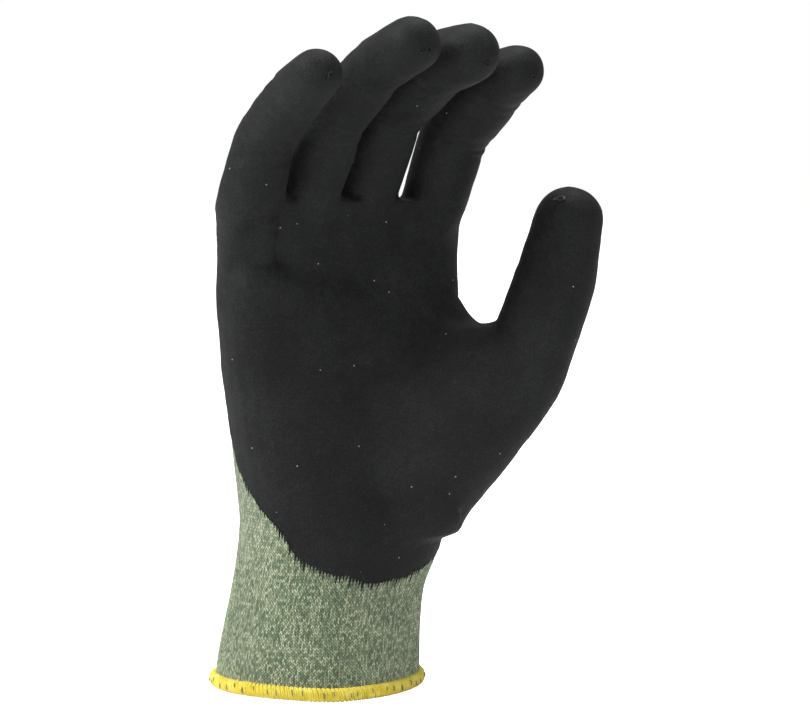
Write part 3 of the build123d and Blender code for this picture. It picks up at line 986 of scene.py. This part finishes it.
# %% Yarn materials
FIBRES = 2600.0         # streaks of fibres, about 0.4 mm: the real ones are finer


def yarn_material(name, dark, mid, light, sheen):
    """Spun yarn: its fibres make fine streaks and its colour varies from dark to light."""
    material, tree = new_material(name)
    spot = add(tree, "TexCoord").outputs["Object"]
    fibres = add(tree, "TexNoise", spot, named={"Scale": FIBRES, "Detail": 3.0})
    cloud = add(tree, "TexNoise", spot, named={"Scale": 260.0, "Detail": 2.0})
    tone = add(tree, "Math", fibres, cloud, operation="ADD")
    tone = add(tree, "Math", tone, 0.5, operation="MULTIPLY")
    colour = add(tree, "ValToRGB", tone, stops=((0.34, dark), (0.5, mid), (0.66, light)))
    bump = add(tree, "Bump", named={"Strength": 0.6, "Distance": 0.12 * MM,
                                    "Height": fibres})
    shader = add(tree, "BsdfPrincipled", named={
        "Base Color": colour, "Normal": bump, "Roughness": 0.8, "Sheen Weight": sheen,
        "Sheen Roughness": 0.5, "Specular IOR Level": 0.3})
    add(tree, "OutputMaterial", shader)
    return material


YELLOW = yarn_material("textured_polyester_yarn", "#d8c032", "#f0dc48", "#fdf184", 0.3)
THREAD = yarn_material("polyester_needle_thread", "#5b5544", "#868069", "#b5b09c", 0.1)
RUBBER = yarn_material("covered_rubber_yarn", "#8d9482", "#a9af9d", "#c6cab9", 0.2)
TIED = yarn_material("nitrile_stiffened_yarn", "#1c1c1c", "#30302f", "#c9cac0", 0.1)
DROWNED = yarn_material("nitrile_drowned_yarn", "#101010", "#181818", "#242424", 0.0)
print("yarns:", ", ".join(m.name for m in (YELLOW, THREAD, RUBBER, TIED, DROWNED)))

# %% [markdown]
# ## Pieces of the hand
# Each piece is named for its layer and its part of the hand, is listed with two bodies
# and the ends of a bend, and stands for the CAD's lengths of liner or film there.

# %% Which piece bends where
CUFF_BEND = ("cuff", "wrist", (0, 0, 31), (0, 0, SEAM_Z))
WRIST_BEND = ("wrist", "palm", (0, 0, SEAM_Z), (0, 0, HAND_BEND_TO))
FINGERTIP_REACH = 6.0   # a finger's last joint bends this far to each side
THUMB_TIP_REACH = (8.4, 9.5)


def bend_table():
    """Region number: name, CAD nodes, then bodies and ends of the bend (mm)."""
    table = {0: ("heel_edge", (), *CUFF_BEND), 1: ("hand", ("wrist", "palm"), *WRIST_BEND)}
    for k, d in enumerate(DIGITS[:4]):
        n, cuts, bones, joints = d["name"], finger_cuts(d), d["bones"], d["joints"]
        first, last = unit(bones[0] + bones[1]), unit(bones[1] + bones[2])
        table[2 + 3 * k] = (f"{n}_root", (f"{n}_proximal",), "palm", f"{n}_proximal",
                            cuts[0][0], cuts[1][0])
        table[3 + 3 * k] = (f"{n}_knuckle", (f"{n}_middle",), f"{n}_proximal", f"{n}_middle",
                            joints[1] - first * KNUCKLE_REACH,
                            joints[1] + first * KNUCKLE_REACH)
        table[4 + 3 * k] = (f"{n}_tip", (f"{n}_distal",), f"{n}_middle", f"{n}_distal",
                            joints[2] - last * FINGERTIP_REACH,
                            joints[2] + last * FINGERTIP_REACH)
    tip, at = unit(thumb["bones"][1] + thumb["bones"][2]), thumb["joints"][2]
    before, past = THUMB_TIP_REACH
    table[WEB] = ("thumb_web", (), "palm", "thumb_base", WEB_WAY * WEB_FROM, WEB_WAY * WEB_TO)
    table[ROOT] = ("thumb_root", ("thumb_base",), "palm", "thumb_base",
                   THUMB_AT + THUMB_WAY * THUMB_CUT,
                   THUMB_AT + THUMB_WAY * (THUMB_CUT + THUMB_BEND))
    table[KNUCKLE] = ("thumb_knuckle", ("thumb_proximal",), "thumb_base", "thumb_proximal",
                      KNUCKLE_AT, KNUCKLE_AT + KNUCKLE_WAY * KNUCKLE_BEND)
    table[TIP] = ("thumb_tip", ("thumb_distal",), "thumb_proximal", "thumb_distal",
                  at - tip * before, at + tip * past)
    return table


print(len(bend_table()), "regions")

# %% Helpers for a piece
def add_piece(name, mesh, material):
    """A smooth-shaded object with its material, at the origin."""
    mesh.materials.clear()
    mesh.materials.append(material)
    mesh.polygons.foreach_set("use_smooth", np.ones(len(mesh.polygons), bool))
    piece = in_scene(bpy.data.objects.new(name, mesh))
    print(name, len(mesh.polygons), "faces")
    return piece


def bend(piece, one, other, start, end):
    """Bake a piece's place into its mesh; it is not bent. One, other, start and end are not
    used.
    """
    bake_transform(piece)


def split_off(layer, number, name):
    """The faces of one region, with the normals that they had in the whole layer."""
    bm = bmesh.new()
    bm.from_mesh(layer)
    others = [f for f in bm.faces if f.material_index != number]
    bmesh.ops.delete(bm, geom=others, context="FACES")
    for f in bm.faces:
        f.material_index = 0
    mesh = mesh_of(bm, name)
    flat = np.empty(len(mesh.vertices) * 3, np.float32)
    mesh.attributes["whole_normal"].data.foreach_get("vector", flat)
    mesh.attributes.remove(mesh.attributes["whole_normal"])
    mesh.normals_split_custom_set_from_vertices(flat.reshape(-1, 3).tolist())
    return mesh


# %% Knit and film, piece by piece
for layer, kind, material, slot, node in ((knit_layer, "knit", KNIT, "knit", "liner"),
                                          (film_layer, "film", NITRILE, "film", "coating")):
    for number, (part, nodes, *bending) in bend_table().items():
        if kind == "knit" and part == "heel_edge":
            continue
        name = f"{kind}_{part}"
        piece = add_piece(name, split_off(layer, number, name), material)
        bend(piece, *bending)
        if nodes:
            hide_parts(*(f"{node}_{n}" for n in nodes))

# %% [markdown]
# ## Cuff
# Nearest the hem the knit lies open to view all round, so here the stitches are real
# relief: a sheet of small faces is rolled into the sleeve and each point is lifted by
# the V of the jersey. A plain lining closes the wall on the inside.

# %% Rolled grids
def rolled(bm, columns, rows, spots):
    """A grid rolled up: spots gives its points in mm for shares across and up, and the
    edges that meet are merged."""
    made = bmesh.ops.create_grid(bm, x_segments=columns, y_segments=rows, size=0.5,
                                 calc_uvs=True)["verts"]
    across, up = (np.array([v.co for v in made]) + 0.5)[:, :2].T
    for v, p in zip(made, spots(across, up)):
        v.co = Vector(p) * MM
    bmesh.ops.remove_doubles(bm, verts=made, dist=0.002 * MM)


# %% Knitted cuff
HEM_UNDER = 0.9
RELIEF, RELIEF_FADE = 0.16, 5.0
POINTS_PER_WALE, POINTS_PER_COURSE, LINING_ROWS = 4, 3, 40


def stitch_height(u, v):
    """The jersey's height at wale u and course v, 0 to 1, as in the material."""
    out = np.abs(u - np.floor(u) - 0.5)
    beat = 0.62 + 0.36 * np.sin(2 * math.pi * (v - 1.5 * out))
    leg = np.maximum(1 - ((out - 0.25) * 4) ** 2, 0) ** 0.6
    return leg * beat


def cuff_outside(angle, height):
    lift = stitch_height(angle / (2 * math.pi) * WALES, height / COURSE) - 0.45
    fade = smooth((SEAM_Z - height) / RELIEF_FADE)
    flat = sleeve_points(height, angle, 0.0)
    return flat + (sleeve_points(height, angle, 1.0) - flat) * (RELIEF * lift * fade)[:, None]


def cuff_inside(angle, height):
    return sleeve_points(height, angle, -KNIT_WALL)


def cuff_sheet(name, columns, rows, spots):
    """A sheet rolled round the sleeve from the hem to the seam, its stitches counted."""
    bm = bmesh.new()
    layer = bm.loops.layers.uv.verify()
    tall = SEAM_Z - HEM_UNDER
    rolled(bm, columns, rows, lambda across, up: spots(
        (across - 0.5) * 2 * math.pi, HEM_UNDER + up * tall))
    for f in bm.faces:
        for corner in f.loops:
            uv = corner[layer].uv
            uv.x = (uv.x - 0.5) * WALES
            uv.y = (HEM_UNDER + uv.y * tall) / COURSE
    mesh = mesh_of(bm, name)
    mesh.uv_layers[0].name = "stitches"
    return mesh


courses = (SEAM_Z - HEM_UNDER) / COURSE
cuff = cuff_sheet("knit_cuff", WALES * POINTS_PER_WALE, round(courses * POINTS_PER_COURSE),
                  cuff_outside)
lining = cuff_sheet("knit_cuff_lining", WALES, LINING_ROWS, cuff_inside)
lining.flip_normals()
for mesh in (cuff, lining):
    piece = add_piece(mesh.name, mesh, KNIT)
    bend(piece, *CUFF_BEND)
    if mesh == cuff:
        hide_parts("liner_cuff")

# %% [markdown]
# ## Overlocked hem
# An overlock machine wraps the cut edge with yarn: needle threads run along it, and
# looper threads cross over and under from edge to edge. The wrap is made as a soft band
# with one looped strand after another round it, each a small bent tube, slanting a little.

# %% The wrap's form
HEM_HIGH, HEM_OUT, HEM_IN = 4.4, 1.6, 0.9
HEM_BACK, HEM_SHIFT = 0.45, 0.25    # room for the strands, and the band's place outwards
HEM_INSET, HEM_SQUARE = 0.35, 0.7   # room above and below, and how square the wrap is


def hem_profile(t):
    """Distance out from the knit's face and height, once round the wrap from its top."""
    angle = t * 2 * math.pi
    wide = (HEM_OUT - HEM_BACK + KNIT_WALL + HEM_IN) / 2
    out = -KNIT_WALL - HEM_IN + wide + wide * np.sin(angle)
    squash = np.abs(np.cos(angle)) ** HEM_SQUARE * np.sign(np.cos(angle))
    return out + HEM_SHIFT, HEM_HIGH / 2 + (HEM_HIGH / 2 - HEM_INSET) * squash


def hem_point(angle, t, lift):
    """A point on the wrap at an angle round the cuff, lifted off its surface."""
    out, high = hem_profile(t)
    away = np.stack([out + KNIT_WALL / 2, high - HEM_HIGH / 2])
    away = away / np.linalg.norm(away, axis=0)
    flat = sleeve_points(np.zeros_like(angle), angle, 0.0)
    side = sleeve_points(np.zeros_like(angle), angle, 1.0) - flat
    flat = flat + side * (out + away[0] * lift)[:, None]
    flat[:, 2] += high + away[1] * lift
    return flat


# %% Strands of yarn
STRANDS, STRAND_R = 290, 0.38
STRAND_FROM, STRAND_SPAN = -0.06, 0.62      # the strand's run round the wrap, in turns
STRAND_LIFT = 0.12
LEANS = (0.06, 0.035)                       # the looper crosses at two slants in turn
CUFF_R = 31.0                               # the cuff's mean radius
rng = random.Random(7)


def strand(bm, angle, slant, size):
    """One strand of yarn over the outer face of the wrap, both ends tucked in."""
    def spots(along, around):
        turn = around * 2 * math.pi
        taper = size * np.clip(np.sin(np.clip(along, 0.02, 0.98) * math.pi) * 3, 0.25, 1)
        return hem_point(angle + slant * (along - 0.5) + np.cos(turn) * taper / CUFF_R,
                         STRAND_FROM + along * STRAND_SPAN,
                         np.sin(turn) * taper + STRAND_LIFT)
    rolled(bm, 7, 6, spots)


wrap = bmesh.new()
rolled(wrap, 200, 20, lambda across, up: hem_point(across * 2 * math.pi, up, 0 * up))
strands = bmesh.new()
for i in range(STRANDS):
    strand(strands, (i + rng.uniform(-0.18, 0.18)) * 2 * math.pi / STRANDS, LEANS[i % 2],
           STRAND_R * rng.uniform(0.85, 1.1))
print("wrap", len(wrap.faces), "faces, strands", len(strands.faces), "faces")

# %% Needle stitches
STITCHES, STITCH_POINTS = 50, 7
STITCH_R, STITCH_SPAN, STITCH_SLANT = 0.2, 0.13, 0.012


def yarn_path(bm, path, radius, sides=6):
    """A tube of rings along a path of points in mm."""
    rings = []
    for i, p in enumerate(path):
        way = Vector(path[min(i + 1, len(path) - 1)]) - Vector(path[max(i - 1, 0)])
        turn = way.to_track_quat("Z", "Y").to_matrix().to_4x4()
        size = radius * (0.5 if i in (0, len(path) - 1) else 1)
        made = bmesh.ops.create_circle(bm, segments=sides, radius=size * MM,
                                       matrix=Matrix.Translation(Vector(p) * MM) @ turn)
        rings.append(list({e for v in made["verts"] for e in v.link_edges}))
    join_rings(bm, rings)


def needle_stitch(bm, angle, t, lift):
    """A short bar of needle thread, which holds the wrap down."""
    share = np.arange(STITCH_POINTS) / (STITCH_POINTS - 1)
    yarn_path(bm, hem_point(angle + STITCH_SLANT * (share - 0.5),
                            t + STITCH_SPAN * (share - 0.5),
                            lift * np.sin(share * math.pi)), STITCH_R)


stitches = bmesh.new()
for i in range(STITCHES):
    needle_stitch(stitches, (i + rng.uniform(-0.3, 0.3)) * 2 * math.pi / STITCHES,
                  rng.uniform(0.19, 0.28), rng.uniform(0.35, 0.62))
print(STITCHES, "stitches", len(stitches.faces), "faces")

# %% [markdown]
# Eight rubber yarns run round the cuff on its inner face, caught by the knit. Like the
# hem they ride on the cuff and don't bend.

# %% Rubber yarns, and the pieces that ride on the cuff
YARN_ROWS = [7.5 + 3.6 * i for i in range(8)]
YARN_R, YARN_IN = 0.25, 1.4

rubber = bmesh.new()
for z in YARN_ROWS:
    rolled(rubber, 160, 6, lambda across, up: sleeve_points(
        z + np.sin(up * 2 * math.pi) * YARN_R, across * 2 * math.pi,
        np.cos(up * 2 * math.pi) * YARN_R - YARN_IN))
for bm, name, material, slot, nodes in (
        (wrap, "hem_wrap", YELLOW, "hem_yarn", ["cuff_hem"]),
        (strands, "hem_strands", YELLOW, "hem_yarn", []),
        (stitches, "hem_needle_stitches", THREAD, "hem_yarn", []),
        (rubber, "rubber_yarn_rows", RUBBER, "rubber_yarn", ["cuff_elastic_yarns"])):
    bmesh.ops.recalc_face_normals(bm, faces=bm.faces)
    piece = add_piece(name, mesh_of(bm, name), material)
    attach(piece, "cuff")
    if nodes:
        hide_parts(*nodes)

# %% [markdown]
# ## Ragged edge of the film
# Nitrile creeps down the grooves between the wales before it sets, so the film's edge
# is a comb: one short tongue to each wale, each as long as chance made it. Every tongue
# is a small sheet bent onto the knit, thick along its middle and thin at its sides.

# %% The knit under the tongues
sleeve = bmesh.new()
sleeve.from_mesh(knit_layer)
bmesh.ops.delete(sleeve, geom=[f for f in sleeve.faces if f.material_index > 1],
                 context="FACES")
surface = BVHTree.FromBMesh(sleeve)
sleeve.free()


def on_knit(angle, z):
    """The knit's outer point and normal at an angle and height."""
    inside = Vector((*sleeve_row(z)[0][:2], z))
    outer = Vector(sleeve_points(np.array([z]), np.array([angle]), 0.0)[0])
    way = (outer - inside).normalized()
    hit, normal, _, _ = surface.ray_cast((outer + way * 25) * MM, -way)
    return (outer, way) if hit is None else (hit / MM, normal)


print("the knit over the heel stands at y", round(on_knit(-math.pi / 2, 40.0)[0].y, 1), "mm")

# %% Tongues of film
TONGUE_LIFT, TONGUE_SINK = 0.34, 0.06
TONGUE_R = 30.0         # the sleeve's mean radius where the tongues lie
TONGUE_ROOT = 1.4       # each tongue starts this far inside the film
COMB_TOP, COMB_STEEP = 112.0, 3.0       # no tongues above this, or where the edge is steep
EDGE_LOOK, EDGE_LOOK_MM = 0.02, 1.2     # how far its slope is looked for, in radians and mm


def tongue(bm, angle, z_top, length, width):
    """A small sheet of film hanging down on the knit."""
    made = bmesh.ops.create_grid(bm, x_segments=4, y_segments=5, size=0.5)["verts"]
    for v in made:
        across, down = v.co.x, 0.5 - v.co.y
        narrow = width * (1 - 0.75 * down ** 1.6)
        at, normal = on_knit(angle + across * narrow / TONGUE_R, z_top - down * length)
        lift = TONGUE_LIFT * (1 - (2 * across) ** 2) * (1.15 - down ** 3) - TONGUE_SINK
        v.co = (at + normal * lift) * MM


angles, heights = np.array(DIP_EDGE, float).T
angles = np.radians(angles)
combs = {"low": bmesh.new(), "high": bmesh.new()}
for i in range(WALES):
    angle = ((i + 0.5) / WALES - 0.5) * 2 * math.pi
    z = float(np.interp(angle, angles, heights))
    steep = abs(np.interp(angle + EDGE_LOOK, angles, heights)
                - np.interp(angle - EDGE_LOOK, angles, heights)) / EDGE_LOOK_MM
    if z > COMB_TOP or steep > COMB_STEEP:
        continue
    length = rng.uniform(0.9, 2.2) if rng.random() < 0.7 else rng.uniform(2.2, 3.8)
    tongue(combs["low" if z < SEAM_Z + 1 else "high"], angle, z + TONGUE_ROOT,
           length + TONGUE_ROOT, rng.uniform(0.9, 1.25))
for which, bending in (("low", CUFF_BEND), ("high", WRIST_BEND)):
    bmesh.ops.recalc_face_normals(combs[which], faces=combs[which].faces)
    name = f"film_edge_{which}"
    bend(add_piece(name, mesh_of(combs[which], name), NITRILE), *bending)

# %% [markdown]
# ## Knots at the tips
# The knitting of each stall starts at its tip, and the yarn's end is tied there: a small
# knot of two or three turns, half drowned in nitrile, with a short tail.

# %% A knot
KNOT_LEANS = dict(index=30, middle=30, ring=30, little=30, thumb=52)
KNOT_TURNS, KNOT_POINTS, KNOT_YARN_R = 3, 42, 0.27
film_tree = BVHTree.FromPolygons([v.co for v in film_layer.vertices],
                                 [tuple(p.vertices) for p in film_layer.polygons])


def knot(d, seed):
    """Turns of yarn round a small ring at the tip, leaning to the pad's side."""
    way, back, tip = d["way"][-1], d["back"][-1], d["line"][-1]
    lean = math.radians(KNOT_LEANS[d["name"]])
    out = Vector(way * math.cos(lean) - back * math.sin(lean))
    hit = film_tree.ray_cast((Vector(tip) + out * 30) * MM, -out)[0]
    centre = hit / MM if hit else Vector(tip) + out * d["radii"][-1]
    side = Vector(np.cross(way, back)).normalized()
    other = out.cross(side)
    chance = random.Random(seed)
    size = 1.0 if d["name"] == "thumb" else 0.72
    path = []
    for i in range(KNOT_POINTS):
        share = i / (KNOT_POINTS - 1)
        a = share * KNOT_TURNS * 2 * math.pi
        r = size * (0.95 + 0.25 * math.sin(a * 2.3 + seed) + chance.uniform(-0.06, 0.06))
        path.append(centre + side * math.cos(a) * r + other * math.sin(a) * r * 0.8
                    + out * size * (0.1 + 0.32 * math.sin(a * 1.5 + seed) + 0.06 * share))
    end, lead = path[-1], (path[-1] - path[-2]).normalized()
    for i in range(1, 6):
        path.append(end + (lead * 0.45 * i + side * 0.05 * i * i + out * 0.02 * i) * size)
    bm = bmesh.new()
    yarn_path(bm, path, KNOT_YARN_R)
    bmesh.ops.recalc_face_normals(bm, faces=bm.faces)
    return bm


print("each knot is a path of", KNOT_POINTS + 5, "points")

# %% The five knots
for seed, d in enumerate(DIGITS):
    name = f"{d['name']}_yarn_knot"
    piece = add_piece(name, mesh_of(knot(d, seed), name),
                      TIED if d["name"] == "thumb" else DROWNED)
    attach(piece, f"{d['name']}_distal")
    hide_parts(f"{d['name']}_tip_knot")

# %% [markdown]
# ## Floor and light
# A plain pale floor and a white room. The floor is lit as the glove is, and what the
# camera sees of it is lifted to white.

# %% Floor
FLOOR_SIZE, FLOOR_Z = 6, -0.3 * MM      # half the floor's side, m; just under the hem
FLOOR_LIFT = 1.3

bm = bmesh.new()
bmesh.ops.create_grid(bm, x_segments=2, y_segments=2, size=FLOOR_SIZE,
                      matrix=Matrix.Translation((0, 0, FLOOR_Z)))
floor = in_scene(bpy.data.objects.new("floor", mesh_of(bm, "floor")))

material, tree = new_material("matt_white_paper")
lift = add(tree, "LightPath").outputs["Is Camera Ray"]
lift = add(tree, "Math", lift, FLOOR_LIFT, operation="MULTIPLY")
grain = add(tree, "TexNoise", add(tree, "TexCoord").outputs["Object"],
            named={"Scale": 900.0})
white = add(tree, "ValToRGB", grain, stops=((0.3, "#ececec"), (0.7, "#eeeeee")))
paper = add(tree, "BsdfDiffuse", white)
glow = add(tree, "Emission", (1, 1, 1, 1), lift)
add(tree, "OutputMaterial", add(tree, "AddShader", paper, glow))
floor.data.materials.append(material)
print("floor at", round(FLOOR_Z / MM, 1), "mm")

# %% Room and lamps
ROOM_LIGHT = 0.34
AIM = Vector((0.005, -0.01, 0.11))      # the middle of the glove

world = bpy.data.worlds.new("studio")
bpy.context.scene.world = world
world.use_nodes = True
tree = world.node_tree
tree.nodes.clear()
seen = add(tree, "LightPath").outputs["Is Camera Ray"]
strength = add(tree, "MapRange", seen, 0.0, 1.0, ROOM_LIGHT, 1.0)
add(tree, "OutputWorld", add(tree, "Background", (1, 1, 1, 1), strength))

#                name, place, side in metres, power in watts
for name, where, size, power in (
        ("key", target + towards * 0.45 - level * 1.05 + Vector((0, 0, 0.85)), 0.6, 20.0),
        ("fill", target + towards + level * 0.35, 0.9, 3.2),
        ("top", target - towards * 0.15 + level * 0.1 + Vector((0, 0, 1.2)), 0.6, 8.0)):
    light = bpy.data.lights.new(name, "AREA")
    light.size, light.energy = size, power
    lamp = in_scene(bpy.data.objects.new(name, light))
    lamp.location = where
    lamp.rotation_euler = (AIM - where).to_track_quat("-Z", "Y").to_euler()
bpy.context.scene.view_settings.view_transform = "Standard"
print(len(bpy.data.lights), "lamps")
